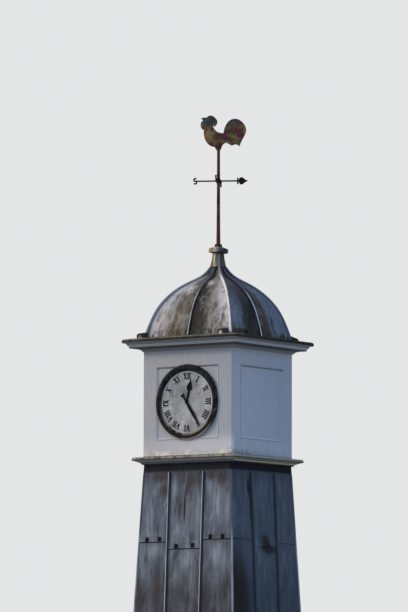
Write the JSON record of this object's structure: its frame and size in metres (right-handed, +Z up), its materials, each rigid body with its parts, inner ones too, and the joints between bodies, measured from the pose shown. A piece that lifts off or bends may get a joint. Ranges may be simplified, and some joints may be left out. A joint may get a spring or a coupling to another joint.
{
  "type": "roof clock turret with ogee lead dome and weathercock",
  "caption": "Square lead-clad turret with battered base, white clock stage between cornices, ogee dome, turning hands and a spinning weathercock.",
  "frame": {"origin": "middle of the base's square foot, level with the bottom of its four walls", "axes": "+Z up the tower, -Y towards the clock face, +X to the right as one looks at the clock"},
  "size_m": [1.832, 1.832, 6.8741],
  "materials": {
    "timber": "bare softwood, aged",
    "white_paint": "white gloss paint on boards, dulled and streaked",
    "lead_base": "weathered lead sheet with pale patina",
    "lead_dark": "dark weathered lead sheet",
    "lead_edge": "weathered lead with brown dirt",
    "lead_dome": "weathered lead with brown and pale patina",
    "rusted_iron": "rusted wrought iron",
    "black_iron": "black paint worn to brass brown at the edge",
    "dial_paint": "weathered white paint",
    "black_hands": "black paint",
    "old_copper": "old copper, brown with green patina"
  },
  "bodies": {
    "turret": {"base_posts": "timber", "base_rails": "timber", "base_boarding_front": "timber", "base_boarding_right": "timber", "base_boarding_back": "timber", "base_boarding_left": "timber", "base_lead_front": "lead_base", "base_lead_right": "lead_base", "base_lead_back": "lead_base", "base_lead_left": "lead_base", "base_rolls": "lead_base", "base_corner_rolls": "lead_base", "base_head_band": "lead_dark", "lower_cornice_front": "white_paint", "lower_cornice_right": "white_paint", "lower_cornice_back": "white_paint", "lower_cornice_left": "white_paint", "lower_cornice_lead": "lead_edge", "stage_posts": "timber", "stage_frame_front": "white_paint", "stage_frame_right": "white_paint", "stage_frame_back": "white_paint", "stage_frame_left": "white_paint", "stage_panels": "white_paint", "panel_mouldings": "white_paint", "upper_cornice_front": "white_paint", "upper_cornice_right": "white_paint", "upper_cornice_back": "white_paint", "upper_cornice_left": "white_paint", "upper_cornice_lead": "lead_edge", "dome_frame": "timber", "dome_boarding": "timber", "dome_lead": "lead_dome", "dome_hip_rolls": "lead_dome", "dome_mid_rolls": "lead_dome", "king_post": "timber", "neck_sleeve": "lead_dome", "neck_cap": "lead_dome", "vane_rod": "rusted_iron", "compass_arms": "rusted_iron", "clock_dial": "dial_paint", "clock_bezel": "black_iron"},
    "vane": {"weathercock": "old_copper"},
    "minute": {"minute_hand": "black_hands"},
    "hour": {"hour_hand": "black_hands"}
  },
  "joints": [
    {"name": "weathercock_spin", "type": "hinge", "parent": "turret", "child": "vane", "pos_m": [0, 0, 6.4056], "axis": [0, 0, 1], "continuous": true},
    {"name": "minute_hand_turn", "type": "hinge", "parent": "turret", "child": "minute", "pos_m": [0, -0.711, 3], "axis": [0, 1, 0], "continuous": true},
    {"name": "hour_hand_turn", "type": "hinge", "parent": "turret", "child": "hour", "pos_m": [0, -0.711, 3], "axis": [0, 1, 0], "continuous": true}
  ],
  "couplings": [
    {"joint": "hour_hand_turn", "follows": "minute_hand_turn", "ratio": 0.083333}
  ]
}
